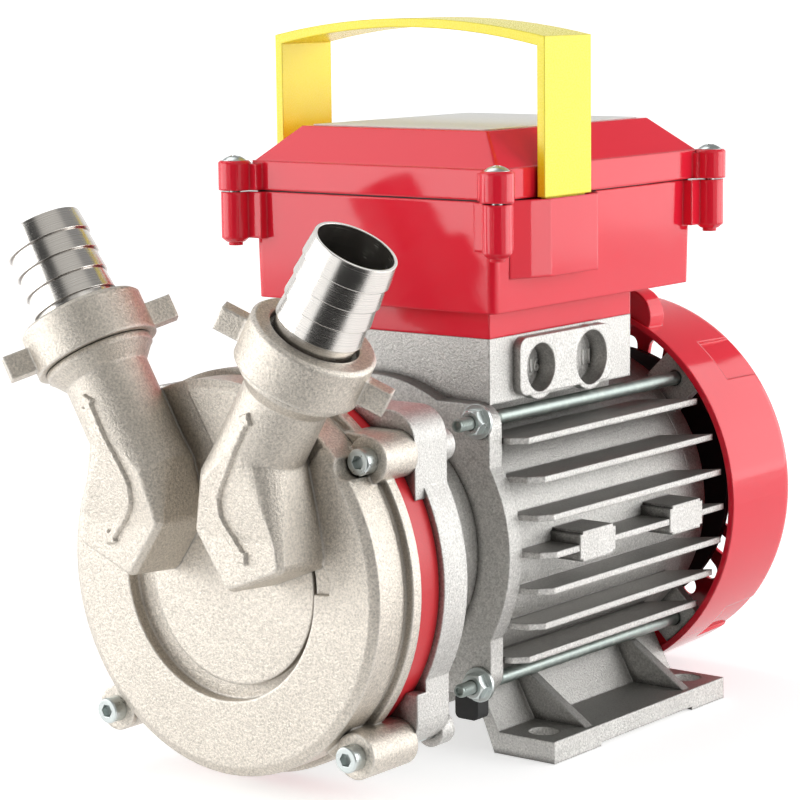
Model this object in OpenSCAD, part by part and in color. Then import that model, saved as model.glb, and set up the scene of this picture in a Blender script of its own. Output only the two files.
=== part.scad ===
// Electric transfer pump: a side-channel pump head with two threaded ports on a finned foot motor.
// Millimetres. +Z is up, Y runs along the shaft with the pump head at -Y, and the origin is
// the centre of the four foot holes on the mounting face.

/* [Motor frame] */
// Height of the shaft axis above the mounting face
axis_h = 71; // [69:0.5:76]
// Foot hole distance across the motor
foot_pitch_x = 112; // [108:0.5:116]
// Foot hole distance along the motor
foot_pitch_y = 90; // [86:0.5:94]
// Diameter of the foot holes
foot_hole_d = 10.5; // [7:0.5:11]
// Front flange face to the first pair of foot holes
foot_setback = 20.7; // [19:0.1:22]
// Front flange face to the front edge of the foot
foot_front = 11; // [9:0.5:12]
// Length of the foot plates
foot_l = 107.8; // [104:0.2:110]
// Overall width over both foot plates
foot_w = 134; // [132:0.5:140]
// Thickness of the foot plates
foot_t = 7.6; // [6:0.2:9]
// Inner edge of each foot, from the middle plane
foot_inner = 42.2; // [40:0.2:43]
// Depth of the relief under the middle of the foot
foot_relief = 1.2; // [0.8:0.1:2]
// Thickness of the four foot gussets
gusset_t = 4; // [3:0.5:5]
// Thickness of the front flange
flange_t = 7; // [6:0.5:8]
// Half width of the square part of the front flange
flange_half = 49; // [48:0.5:51]
// Radius of the round part of the front flange
flange_r = 57; // [56:0.5:58]
// Front flange face to the back end of the housing
housing_l = 115; // [113:0.5:118]
// Outer radius of the housing tube
body_r = 55; // [54.5:0.5:56]
// Wall of the housing tube
body_wall = 5; // [4:0.5:6]
// Radius to the fin tips
fin_r = 67; // [64:0.5:68]
// Thickness of a fin
fin_t = 2.2; // [1.8:0.1:2.6]
// Distance between fins
fin_pitch = 12.4; // [12:0.1:12.6]

/* [Tie rods] */
// Half distance between tie rods, across and up
tie_half = 44.5; // [44:0.5:45]
// Diameter of a tie rod
tie_d = 5; // [4:0.5:5.5]
// Length of rod ahead of the front flange
tie_tip = 12; // [10:0.5:14]
// Flange diameter of the flange nuts
nut_flange_d = 11.8; // [11:0.2:12]
// Width across flats of the tie rod nuts
nut_af = 8; // [7:0.5:9]
// Height of the tie rod nuts
nut_h = 5; // [4:0.5:6]

/* [Rear shield and fan] */
// Thickness of the rear shield plate
shield_t = 5.5; // [5:0.5:7]
// Thickness of the four tie rod arms on the back of the shield
shield_arm_t = 4; // [3:0.5:5]
// Half width of the tie rod arms
shield_arm_half = 8.8; // [7:0.1:10]
// Outer radius of the fan cover at its open rim
fan_cover_r = 70.6; // [70:0.1:70.9]
// Outer radius of the fan cover at its grille
fan_cover_rear_r = 69.4; // [68:0.1:70]
// Length of the fan cover
fan_cover_l = 45.4; // [43:0.1:48]
// Wall of the fan cover
fan_cover_wall = 2.2; // [1.8:0.1:2.4]
// Depth of the four sunk pads on the diagonals of the fan cover
pad_depth = 1.2; // [0.6:0.1:1.5]
// Half width of the sunk pads
pad_half = 8.9; // [7:0.1:10]
// Open rim of the fan cover to the front end of the sunk pads
pad_setback = 20; // [16:0.5:24]
// Number of outer grille slots
grille_count = 26; // [20:2:28]
// Width of a grille slot
grille_slot = 6.6; // [5:0.2:6.8]
// Radius of the cooling fan disc
fan_r = 50.3; // [46:0.1:52]
// Number of fan blades
fan_blades = 8; // [6:1:10]

/* [Shaft line] */
// Shaft diameter in the bearings
bearing_bore = 15; // [14:0.5:16]
// Outer diameter of the bearings
bearing_od = 35; // [34:0.5:36]
// Width of the bearings
bearing_w = 11; // [10:0.5:12]
// Radius of the motor rotor
rotor_r = 27; // [25:0.5:28]
// Air gap between rotor and stator
air_gap = 0.5; // [0.3:0.05:0.8]
// Length of the rotor and stator stacks
stack_l = 62; // [56:1:64]
// Radius of the impeller
impeller_r = 47.6; // [46:0.2:49]
// Number of impeller blades
impeller_blades = 18; // [14:2:22]
// Running clearance round the impeller
impeller_gap = 0.4; // [0.2:0.05:0.5]

/* [Pump head] */
// Back of the adapter plate to the front flange face
lantern_l = 36; // [34:0.5:40]
// Thickness of the adapter plate
adapter_t = 12; // [11:0.5:13]
// Radius of the adapter plate
adapter_r = 66.3; // [65:0.1:67]
// Half width over the adapter ears
ear_half = 58.5; // [58:0.5:60]
// Height of the upper ears above the axis
ear_top = 55.5; // [54.5:0.5:57]
// Depth of the lower ears below the axis
ear_bottom = 53.6; // [53:0.2:55]
// Step of the ears ahead of the adapter plate
ear_step = 4.5; // [3.5:0.5:5.5]
// Radius of the neck between adapter plate and flange
neck_r = 44; // [42:0.5:46]
// Width of the intermediate ring
ring_w = 12; // [11:0.5:13]
// Outer radius of the intermediate ring
ring_r = 64; // [63.5:0.1:65]
// Thickness of the cover, from its rim face to its front face
cover_t = 20; // [19:0.5:21]
// Radius of the cover rim
cover_rim_r = 66.3; // [65.5:0.1:67]
// Radius of the cover wall
cover_r = 64.4; // [64:0.1:65]
// Width of the cover rim
cover_rim_w = 4; // [3:0.5:5]
// Radius of the flat front face of the cover
cover_flat_r = 61.3; // [60:0.1:62]
// Radius of the sunk middle of the cover face
disc_r = 39.6; // [38:0.2:40.5]
// Depth of the sunk middle of the cover face
disc_depth = 1.4; // [1:0.1:2]
// Depth of the crescent groove below the sunk middle
groove_depth = 3; // [2:0.5:4]
// Screw distance from the middle plane at the lower ears
screw_x_low = 51.1; // [50:0.1:51.5]
// Screw depth below the axis at the lower ears
screw_z_low = 51.1; // [47:0.1:51.5]
// Screw distance from the middle plane at the upper ears
screw_x_high = 52.3; // [50:0.1:53]
// Screw height above the axis at the upper ears
screw_z_high = 42; // [40:0.1:46]
// Radius of the screw pillars
pillar_r = 7.5; // [6.5:0.1:8]
// Nominal diameter of the cover screws
screw_d = 5; // [4:0.5:6]
// Head diameter of the cover screws
screw_head_d = 8.5; // [8:0.1:9]

/* [Ports] */
// Tilt of each port axis from the vertical
port_tilt = 30.8; // [28:0.2:33]
// Distance of the nut tops from the middle plane
port_x = 49.3; // [48:0.1:52]
// Height of the nut tops above the axis
port_z = 83.2; // [82:0.1:86]
// Distance of the port axes ahead of the cover face
port_out = 9.2; // [8.5:0.1:10]
// Outer radius of the port tubes
port_r = 14; // [13:0.1:14.5]
// Radius of the flow passage
port_bore_r = 10.5; // [9:0.1:11]
// Height of the flat front of the port boots above the cover face
boot_rise = 19.5; // [18.5:0.1:20]
// Outer radius of the union nuts
nut_r = 20.5; // [20:0.1:22]
// Height of the union nuts
union_h = 15; // [14:0.5:17]
// Reach of the nut lugs from the port axis
lug_reach = 29; // [27.5:0.5:30]
// Barb radius of the hose tails
barb_r = 14.2; // [13.8:0.1:14.4]
// Bore radius of the hose tails
tail_bore_r = 12.4; // [11.5:0.1:12.6]
// Length of the hose tails above the nuts
tail_l = 32; // [30:0.5:36]
// Distance between the barbs
barb_pitch = 7.1; // [6.5:0.1:7.5]

/* [Terminal box] */
// Half width of the cast terminal base
base_half = 45; // [44:0.5:46]
// Length of the cast terminal base
base_l = 84.4; // [82:0.2:88]
// Height of the underside of the cast terminal base above the axis
base_z = 49.1; // [48.9:0.1:50.5]
// Height of the cast terminal base
base_h = 22; // [21:0.5:23]
// Height of the narrow box neck
box_neck_h = 9; // [8:0.5:10]
// Half width of the box
box_half = 51.5; // [50.5:0.1:52.5]
// Length of the box
box_l = 120.9; // [119:0.1:123]
// Height of the box above its neck
box_h = 37.3; // [36:0.1:39]
// Wall of the box and lid
box_wall = 2.6; // [2:0.1:3]
// Overhang of the lid over the box walls
lid_over = 1.6; // [1.2:0.1:2]
// Height of the upright lid skirt
lid_skirt = 10.1; // [9:0.1:11]
// Rise of the sloped lid top above the skirt
lid_rise = 11.6; // [10:0.1:13]
// Half width of the flat lid top
lid_top_half = 39.7; // [38:0.1:42]
// Corner screw overhang beyond both sides of the box
lid_screw_x = 4.5; // [4:0.1:5]
// Corner screw overhang beyond both ends of the box
lid_screw_out = 4.4; // [4:0.1:5]
// Radius of the lid bosses
lid_boss_r = 5.7; // [5.4:0.1:6]
// Radius of the box bosses
box_boss_r = 4.9; // [4.5:0.1:5.1]

/* [Handle] */
// Width of the handle strap
strap_w = 27; // [24:0.5:28]
// Thickness of the handle strap
strap_t = 3; // [2.4:0.1:3.2]
// Height of the handle crown above the box
handle_z = 58.4; // [54.8:0.2:64]
// Height above the box where the legs turn into the crown
shoulder_z = 52.6; // [50:0.2:54]

/* [Hidden] */
$fn = 72;
// Clearances: loose, press or location, and running
fit = 0.3;
tight = 0.05;
run = 0.08;
// Stations along the shaft, from the pump head back
flange_y = -(foot_pitch_y / 2 + foot_setback);
housing_y = flange_y + housing_l;
shield_y = housing_y + shield_t;
back_y = shield_y + shield_arm_t;
adapter_back = flange_y - lantern_l;
adapter_y = adapter_back - adapter_t;
ear_y = adapter_y - ear_step;
rim_y = adapter_y - ring_w;
face_y = rim_y - cover_t;
boot_y = face_y - boot_rise;
port_y = face_y - port_out;
spigot_r = body_r - body_wall - tight;
tab_t = 2.6;
cover_start = shield_y - 1.5;
grille_y = cover_start + fan_cover_l;
front_wall = bearing_w + 1.5;
stack_y = flange_y + front_wall + 15.5;
seal_r = 12;
seal_y = adapter_y + 2;
seal_seat_t = 6;
seal_face_t = 4;
seal_l = 20;
slit_w = 2.5;
// Foot: top of its leaning webs and place of the gussets
leg_top = axis_h - 43;
gusset_in = 21;
// Grille: direction of the first slot, ends of the outer row, inner row with 2 mm bars at its root
grille_turn = -4.5;
grille_out = [38, 52.5];
grille_in = [(grille_slot + 2) * grille_count / (4 * PI), 33];
// Half-round boss on top of the fan cover: radius, place across and above the axis, length
hood_boss_r = 10;
hood_boss_x = 24;
hood_boss_z = 65.8;
hood_boss_l = 12;
// Cooling fan and the thin end of the shaft that carries it
fan_y = back_y + 3;
fan_hub_r = 13;
fan_hub_l = 23.7;
fan_disc_t = 2.5;
blade_r = fan_r - 10.3;
shaft_end_r = 7;
// Rings round the winding heads
winding_l = 10;
winding_gap = 4;
// Rubber buffer: sides, height and thickness
buffer_x = [body_r - 21, body_r - 11.5];
buffer_h = 8.5;
buffer_t = 6;
// Screw pillars: place across, place up and seat plane
low_seat = rim_y - 15;
high_seat = low_seat + 6.5;
head_h = 5;
pillars = [[screw_x_low, -screw_z_low, low_seat], [-screw_x_low, -screw_z_low, low_seat],
           [screw_x_high, screw_z_high, high_seat], [-screw_x_high, screw_z_high, high_seat]];
tie_points = [for (sx = [-1, 1], sz = [-1, 1]) [sx * tie_half, sz * tie_half]];
// Ports
collar_r = nut_r - 2.5;
nut_bore_r = barb_r + 0.55;
thread_r = nut_r - 4;
nut_roof = 2.2;
mouth = 5.5;
gasket_t = 1.5;
knee_t = 57;
lug_w = 8;
lug_t = 5;
lug_turn = [26, 54];
boot_low = [[21.5, 76.5], [39, 83.5], [31, 99], [12.5, 98], [10.8, 92]];
// Terminal base: raised panel from, to, above the underside and out from the side, then
// the blind cable entries as place along the base, bore radius and radius of the ring round them
base_y = flange_y + 5.9;
base_low = axis_h + base_z;
panel_y = [13, 67.8];
panel_z = [1.4, 21];
panel_t = 3.2;
entries = [[25.1, 8.25, 10.8], [55.4, 9.5, 11.2]];
entry_z = 10.1;
entry_depth = 4;
rib_h = 4;
cable_r = 9;
cable_y = base_y + 18;
// Terminal box
neck_top = base_low + base_h + box_neck_h;
box_y = flange_y - 0.1;
box_top = neck_top + box_h;
lid_z = box_top;
skirt_top = lid_z + lid_skirt;
lid_top_z = skirt_top + lid_rise;
lid_half = box_half + lid_over;
lid_y = box_y - 0.1;
lid_l = box_l + 2 * lid_over + 0.3;
lid_slope = 12.6;
lid_top_y = lid_y + lid_slope;
lid_top_l = lid_l - 2 * lid_slope - 1.8;
lid_screws = [for (sx = [-1, 1], e = [-lid_screw_out, box_l + lid_screw_out])
              [sx * (box_half + lid_screw_x), box_y + e]];
lid_screw_r = 1.8;
lid_screw_in = 13;
boss_low = lid_z - lid_screw_in - 3.5;
strap_y = box_y + 20.4;
pocket_out = 6;
pocket_z = neck_top + 11;
pocket_y = box_y + 8.8;
leg_out = box_half + pocket_out;
leg_in = leg_out - strap_t;
tongue_t = 1.8;
tongue_in = 2;
tongue_z = box_top - 16;
crown_top = box_top + handle_z;
shoulder_top = box_top + shoulder_z;
// Capacitor and terminal block on the floor of the box
capacitor_r = 15;
capacitor_l = 75;
capacitor_x = -20;
block_w = 24;
block_l = 60;
block_h = 9;
block_x = 16;

// Round bar along +Y from y0 to y1, on the shaft axis unless moved
module bar_y(r, y0, y1, x = 0, z = 0, r2 = undef) {
  translate([x, y0, axis_h + z]) rotate([-90, 0, 0])
    cylinder(h = y1 - y0, r1 = r, r2 = is_undef(r2) ? r : r2);
}

// Flat shape given in X and height above the axis, extruded along +Y from y0 to y1
module slab_y(y0, y1) {
  translate([0, y1, axis_h]) rotate([90, 0, 0]) linear_extrude(height = y1 - y0) children();
}

// Rectangle with round corners, as exact shapes
module round_rect(x0, x1, y0, y1, r) {
  translate([x0 + r, y0]) square([x1 - x0 - 2 * r, y1 - y0]);
  translate([x0, y0 + r]) square([x1 - x0, y1 - y0 - 2 * r]);
  for (x = [x0 + r, x1 - r], y = [y0 + r, y1 - r]) translate([x, y]) circle(r = r, $fn = 32);
}

// Moves children to a port: local +Z runs out along the port axis, local 0 is the nut top
module at_port(side) {
  translate([side * port_x, port_y, axis_h + port_z]) rotate([0, side * port_tilt, 0]) children();
}

// Plain ring about local Z from z0 to z1
module ring_z(ro, ri, z0, z1) {
  difference() {
    translate([0, 0, z0]) cylinder(h = z1 - z0, r = ro);
    translate([0, 0, z0 - 1]) cylinder(h = z1 - z0 + 2, r = ri);
  }
}

// Plain ring about the shaft axis from y0 to y1
module ring_y(ro, ri, y0, y1) {
  difference() {
    bar_y(ro, y0, y1);
    bar_y(ri, y0 - 1, y1 + 1);
  }
}

// One fin, flat at its own height, from inside the tube wall out to the tip circle
module fin(k) {
  z = k * fin_pitch;
  tip = sqrt(fin_r * fin_r - z * z);
  root = sqrt(body_r * body_r - z * z) - body_wall / 2;
  reach = tip - root;
  translate([0, 0, axis_h + z - fin_t / 2]) linear_extrude(height = fin_t)
    for (m = [0, 1]) mirror([m, 0])
      polygon([[root, flange_y + flange_t - 1], [root + 0.35 * reach, flange_y + flange_t],
               [root + 0.75 * reach, flange_y + flange_t + 1.6], [tip, flange_y + flange_t + 6],
               [tip, housing_y + 3], [root, housing_y - 0.75 * reach]]);
}

module fin_pads() {
  for (m = [0, 1], y = [flange_y + 26.3, flange_y + 82]) mirror([m, 0, 0])
    translate([body_r - 3, y, axis_h + 0.3]) {
      translate([0, 0, -4.2]) cube([fin_r + 0.3 - body_r + 3, 21, 8.4]);
      translate([0, 1.5, -5.2]) cube([fin_r + 0.3 - body_r + 3, 18, 10.4]);
    }
}

// Cross-section of one foot leg: plate, leaning web and its inner face
module leg_section() {
  polygon([[foot_inner, 0], [foot_w / 2, 0], [foot_w / 2, foot_t], [foot_inner + 2, foot_t],
           [foot_inner - 9.2, leg_top], [foot_inner - 16, leg_top], [foot_inner - 6, 14.4]]);
}

module foot() {
  foot_y = flange_y + foot_front;
  for (m = [0, 1]) mirror([m, 0, 0]) difference() {
    union() {
      translate([0, foot_y + foot_l, 0]) rotate([90, 0, 0]) linear_extrude(height = foot_l) leg_section();
      for (y = [foot_y + gusset_in, foot_y + foot_l - gusset_in - gusset_t])
        translate([0, y + gusset_t, 0]) rotate([90, 0, 0]) linear_extrude(height = gusset_t)
          polygon([[foot_inner, foot_t - 1], [foot_w / 2 - 1.6, foot_t - 1], [foot_w / 2 - 1.6, foot_t],
                   [foot_inner - 6.2, leg_top - 0.6], [foot_inner - 10, leg_top - 0.6]]);
    }
    translate([foot_inner - 1, foot_y + 0.26 * foot_l, -1])
      cube([foot_w, 0.54 * foot_l, 1 + foot_relief]);
    // The foot runs on behind the tube, clear of the rear shield and the fan cover
    bar_y(body_r + fit, housing_y, housing_y + 20);
    bar_y(fan_cover_r + fit, cover_start - fit / 2, housing_y + 20);
  }
}

module motor_flange() {
  round_rect(-flange_half, flange_half, -flange_half, axis_h - 21, 8);
  circle(r = flange_r, $fn = 96);
}

module terminal_base() {
  translate([-base_half, base_y, base_low]) cube([2 * base_half, base_l, base_h]);
  translate([-base_half + 9, base_y, axis_h + 40]) cube([2 * base_half - 18, base_l, 16]);
  // Raised entry panel, and the rings round the entries that show below its lower edge
  translate([base_half - 1, 0, base_low]) rotate([90, 0, 90]) linear_extrude(height = panel_t + 1)
    round_rect(base_y + panel_y[0], base_y + panel_y[1], panel_z[0], panel_z[1], 4);
  for (e = entries) translate([base_half - 1, base_y + e[0], base_low + entry_z]) rotate([0, 90, 0])
    cylinder(h = panel_t + 0.7, r = e[2]);
}

module motor_housing() {
  color([0.72, 0.71, 0.68]) difference() {
    union() {
      slab_y(flange_y, flange_y + flange_t) motor_flange();
      bar_y(body_r, flange_y, housing_y);
      for (k = [-3:3]) fin(k);
      fin_pads();
      foot();
      // Short cooling ribs under the tube
      for (x = [-16, 0, 16])
        translate([x - fin_t / 2, flange_y + flange_t, axis_h - body_r - rib_h])
          cube([fin_t, housing_l - flange_t - 4, rib_h + 2]);
      terminal_base();
    }
    // Stator bore, bearing seat and shaft hole
    bar_y(body_r - body_wall, flange_y + front_wall, housing_y + 1);
    bar_y(bearing_od / 2 + tight, flange_y + 1.5, flange_y + front_wall + 1);
    bar_y(bearing_bore / 2 + 2, flange_y - 1, flange_y + 2);
    for (p = tie_points) bar_y(tie_d / 2 + fit, flange_y - 1, housing_y + 5, p[0], p[1]);
    for (sx = [-1, 1], sy = [-1, 1]) translate([sx * foot_pitch_x / 2, sy * foot_pitch_y / 2, -1])
      cylinder(h = foot_t + 2, r = foot_hole_d / 2);
    // Cable passage to the terminal box and the two blind cable entries
    translate([0, cable_y, axis_h + 40]) cylinder(h = 60, r = cable_r);
    for (e = entries) translate([base_half - entry_depth, base_y + e[0], base_low + entry_z])
      rotate([0, 90, 0]) cylinder(h = entry_depth + panel_t + 1, r = e[1]);
  }
}

module rear_shield() {
  color([0.66, 0.65, 0.62]) difference() {
    union() {
      bar_y(body_r, housing_y, back_y);
      // Spigot in the housing tube and hub round the bearing
      ring_y(spigot_r, spigot_r - 4, housing_y - 4, housing_y + 1);
      bar_y(bearing_od / 2 + 4, housing_y - bearing_w - 1, housing_y + 1);
      // Four arms that take the tie rods and reach out to the wall of the fan cover
      slab_y(shield_y, back_y) intersection() {
        circle(r = fan_cover_r - fan_cover_wall - fit, $fn = 96);
        for (p = tie_points) rotate(atan2(p[1], p[0])) translate([0, -shield_arm_half])
          square([fan_cover_r, 2 * shield_arm_half]);
      }
    }
    bar_y(bearing_od / 2 + tight, housing_y - bearing_w - 2, housing_y);
    bar_y(bearing_bore / 2 + 2, housing_y - 1, back_y + 1);
    for (p = tie_points) bar_y(tie_d / 2 + fit, shield_y - 1, back_y + 1, p[0], p[1]);
  }
}

module tie_rods() {
  color([0.80, 0.81, 0.80]) for (p = tie_points) {
    bar_y(tie_d / 2 - 0.8, flange_y - tie_tip, flange_y - tie_tip + 0.8, p[0], p[1], tie_d / 2);
    bar_y(tie_d / 2, flange_y - tie_tip + 0.8, back_y + tab_t + 0.5, p[0], p[1]);
    // Hexagon head behind the fan cover tab
    translate([p[0], back_y + tab_t + 0.1, axis_h + p[1]]) rotate([-90, 0, 0])
      cylinder(h = 3.5, r = nut_af / sqrt(3), $fn = 6);
  }
}

module tie_nuts() {
  color([0.78, 0.80, 0.80]) for (p = tie_points) difference() {
    union() {
      bar_y(nut_flange_d / 2, flange_y - 1.2, flange_y, p[0], p[1]);
      intersection() {
        translate([p[0], flange_y - nut_h, axis_h + p[1]]) rotate([-90, 0, 0])
          cylinder(h = nut_h - 0.5, r = nut_af / sqrt(3), $fn = 6);
        bar_y(nut_af / 2 - 0.2, flange_y - nut_h, flange_y, p[0], p[1], nut_af / 2 + 4);
      }
    }
    bar_y(tie_d / 2 + tight, flange_y - nut_h - 1, flange_y + 1, p[0], p[1]);
  }
}

// Solid of the fan cover, turned from its half profile and set in by a wall thickness
module hood_solid(inset, front) {
  r1 = fan_cover_r - inset;
  r2 = fan_cover_rear_r - inset;
  back = fan_cover_l - inset;
  translate([0, cover_start, axis_h]) rotate([-90, 0, 0]) rotate_extrude($fn = 96)
    polygon(concat([[0, back], [0, front], [r1, front]],
      [for (a = [0:15:90]) [r2 - 6 + 6 * cos(a), back - 6 + 6 * sin(a)]]));
}

// Strips along the four diagonals, wider than the sunk pads by more on each side
module pad_strips(more) {
  for (a = [45:90:315]) rotate(a)
    translate([0, -pad_half - more]) square([fan_cover_r + 5, 2 * (pad_half + more)]);
}

module grille_slots() {
  for (i = [0:grille_count - 1]) rotate(grille_turn + i * 360 / grille_count) {
    translate([grille_out[0], -grille_slot / 2])
      square([grille_out[1] - grille_out[0] - grille_slot / 2, grille_slot]);
    translate([grille_out[1] - grille_slot / 2, 0]) circle(r = grille_slot / 2, $fn = 32);
  }
  for (i = [0:grille_count / 2 - 1]) rotate(grille_turn + i * 720 / grille_count)
    translate([grille_in[0], -grille_slot / 2]) square([grille_in[1] - grille_in[0], grille_slot]);
}

module fan_cover() {
  pad_r = fan_cover_rear_r - pad_depth;
  boss_y = cover_start + 1.5;
  color([0.82, 0.12, 0.14]) difference() {
    union() {
      difference() {
        union() {
          hood_solid(0, 0);
          bar_y(hood_boss_r, boss_y, boss_y + hood_boss_l - 3, hood_boss_x, hood_boss_z);
          bar_y(hood_boss_r, boss_y + hood_boss_l - 3, boss_y + hood_boss_l, hood_boss_x, hood_boss_z,
                hood_boss_r - 3);
        }
        hood_solid(fan_cover_wall, -1);
      }
      // The wall is carried inwards behind the sunk pads
      slab_y(cover_start + pad_setback - fan_cover_wall, grille_y - 5) intersection() {
        difference() {
          circle(r = pad_r + 0.5, $fn = 96);
          circle(r = pad_r - fan_cover_wall, $fn = 96);
        }
        pad_strips(fan_cover_wall);
      }
      // Inner tabs that the tie rods clamp against the shield arms
      slab_y(back_y, back_y + tab_t) intersection() {
        circle(r = fan_cover_r - 1, $fn = 96);
        for (p = tie_points) rotate(atan2(p[1], p[0])) translate([tie_half * sqrt(2) - 7, -6])
          square([20, 12]);
      }
    }
    for (p = tie_points) bar_y(tie_d / 2 + fit, back_y - 1, back_y + tab_t + 1, p[0], p[1]);
    slab_y(cover_start + pad_setback, grille_y + 1) intersection() {
      difference() {
        circle(r = fan_cover_r + 4);
        circle(r = pad_r, $fn = 96);
      }
      pad_strips(0);
    }
    slab_y(grille_y - 5, grille_y + 1) grille_slots();
  }
}

module cooling_fan() {
  disc_y = fan_y + fan_hub_l - fan_disc_t - 1;
  color([0.10, 0.10, 0.10]) difference() {
    union() {
      bar_y(fan_hub_r, fan_y, fan_y + fan_hub_l);
      bar_y(fan_r, disc_y, disc_y + fan_disc_t);
      // Blades on the motor side of the disc
      for (i = [0:fan_blades - 1]) translate([0, fan_y + 2, axis_h]) rotate([0, i * 360 / fan_blades, 0])
        translate([fan_hub_r - 4, 0, -1]) cube([blade_r - fan_hub_r + 4, disc_y - fan_y - 1, 2]);
    }
    bar_y(shaft_end_r, fan_y - 1, fan_y + fan_hub_l + 1);
  }
}

module shaft() {
  color([0.74, 0.75, 0.76]) union() {
    bar_y(bearing_bore / 2 - 1, rim_y + 1, flange_y + 2);
    bar_y(bearing_bore / 2, flange_y + 1.5, flange_y + front_wall);
    bar_y(bearing_bore / 2 + 1.5, flange_y + front_wall, housing_y - bearing_w);
    bar_y(bearing_bore / 2, housing_y - bearing_w, housing_y);
    bar_y(shaft_end_r, housing_y, fan_y + fan_hub_l + 1);
  }
}

module rotor() {
  color([0.55, 0.56, 0.58]) difference() {
    union() {
      bar_y(rotor_r, stack_y, stack_y + stack_l);
      bar_y(rotor_r - 3, stack_y - 5, stack_y + stack_l + 5);
    }
    bar_y(bearing_bore / 2 + 1.5, stack_y - 6, stack_y + stack_l + 6);
  }
}

module stator() {
  color([0.45, 0.46, 0.48]) difference() {
    bar_y(body_r - body_wall, stack_y, stack_y + stack_l);
    bar_y(rotor_r + air_gap, stack_y - 1, stack_y + stack_l + 1);
  }
}

module windings() {
  color([0.72, 0.40, 0.20]) for (y = [stack_y - winding_l, stack_y + stack_l])
    ring_y(body_r - body_wall - winding_gap - 2, rotor_r + winding_gap, y, y + winding_l);
}

module bearing_outer(y) {
  ring_y(bearing_od / 2, bearing_od / 2 - 4.5, y, y + bearing_w);
}

module bearing_inner(y) {
  ring_y(bearing_od / 2 - 4.5 - run, bearing_bore / 2, y, y + bearing_w);
}

module front_bearing_outer() {
  color([0.70, 0.71, 0.72]) bearing_outer(flange_y + 1.5);
}

module front_bearing_inner() {
  color([0.62, 0.63, 0.65]) bearing_inner(flange_y + 1.5);
}

module rear_bearing_outer() {
  color([0.70, 0.71, 0.72]) bearing_outer(housing_y - bearing_w);
}

module rear_bearing_inner() {
  color([0.62, 0.63, 0.65]) bearing_inner(housing_y - bearing_w);
}

module adapter() {
  color([0.70, 0.69, 0.66]) difference() {
    union() {
      bar_y(adapter_r, adapter_y, adapter_back);
      slab_y(adapter_y, adapter_back) round_rect(-ear_half, ear_half, -ear_bottom, ear_top, 10);
      // Ear pads stand ahead of the plate and clear the intermediate ring
      slab_y(ear_y, adapter_y) difference() {
        round_rect(-ear_half, ear_half, -ear_bottom, ear_top, 10);
        circle(r = ring_r + fit);
        translate([-ear_half, -35]) square([2 * ear_half, 62.5]);
      }
      bar_y(neck_r, adapter_back - 1, flange_y);
      // Thread bosses behind the ears
      for (p = pillars) bar_y(pillar_r - 2, adapter_back - 1, adapter_back + 5.5, p[0], p[1]);
    }
    bar_y(neck_r - 9, adapter_back + 4, flange_y + 1);
    bar_y(seal_r + tight, adapter_y - 1, adapter_back + 5);
    for (p = pillars) bar_y(screw_d / 2 + tight, ear_y - 1, adapter_back + 6.5, p[0], p[1]);
  }
}

module intermediate_ring() {
  color([0.83, 0.14, 0.15]) difference() {
    bar_y(ring_r, rim_y, adapter_y);
    bar_y(impeller_r + impeller_gap, rim_y - 1, adapter_y + 1);
  }
}

// Lower part of one port: a boot that swells out of the tube and leads the flow back into the cover
module boot() {
  hull() {
    for (p = boot_low) translate([p[0], face_y + 1, p[1]]) rotate([90, 0, 0]) {
      cylinder(h = boot_rise - 1, r1 = 4.8, r2 = 3.6, $fn = 20);
      cylinder(h = boot_rise + 1, r1 = 3.6, r2 = 2.2, $fn = 20);
    }
    at_port(1) translate([0, 0, -knee_t - 1])
      cylinder(h = 18, r1 = port_r + 0.5, r2 = port_r - 0.6, $fn = 32);
  }
}

// Space in front of the boots: upright at the foot, then leaning forward to meet the tubes
module boot_front() {
  translate([-70, 0, axis_h]) rotate([90, 0, 90]) linear_extrude(height = 140)
    polygon([[boot_y - 30, -20], [boot_y, -20], [boot_y, 19], [boot_y - 4.6, 54], [boot_y - 30, 54]]);
}

module port_casting(side) {
  difference() {
    union() {
      at_port(side) translate([0, 0, -knee_t]) cylinder(h = knee_t - union_h, r = port_r);
      mirror([side < 0 ? 1 : 0, 0, 0]) boot();
    }
    boot_front();
  }
  at_port(side) {
    // Collar and thread under the union nut
    translate([0, 0, -union_h - 3]) cylinder(h = union_h + 3 - mouth - gasket_t, r = thread_r);
    translate([0, 0, -union_h - 2.6]) cylinder(h = 2.3, r = collar_r);
    translate([0, 0, -union_h - 8]) cylinder(h = 5.6, r1 = port_r - 0.5, r2 = collar_r - 0.1);
  }
}

// Area round one port that is sunk with the middle of the face
module sunk_area() {
  polygon([[0, 30], [0, 41], [24, 80], [62, 76], [43, 47], [32.2, 32.4], [42.4, 15], [41.4, 12.5],
           [45.8, 6], [45.6, 0.5], [38, 0]]);
}

module screw_pillar(p) {
  bar_y(pillar_r, p[2], ear_y, p[0], p[1]);
  // Web with a flat top between the pillar and the cover wall
  x = abs(p[0]);
  z = p[1];
  slab_y(p[2] + 2.5, ear_y) mirror([p[0] < 0 ? 1 : 0, 0])
    polygon([[x - 14, z + pillar_r], [x, z + pillar_r], [x + 0.7 * pillar_r, z],
             [x, z - pillar_r + 0.4], [x - 14, z - 1.5]]);
}

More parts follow.
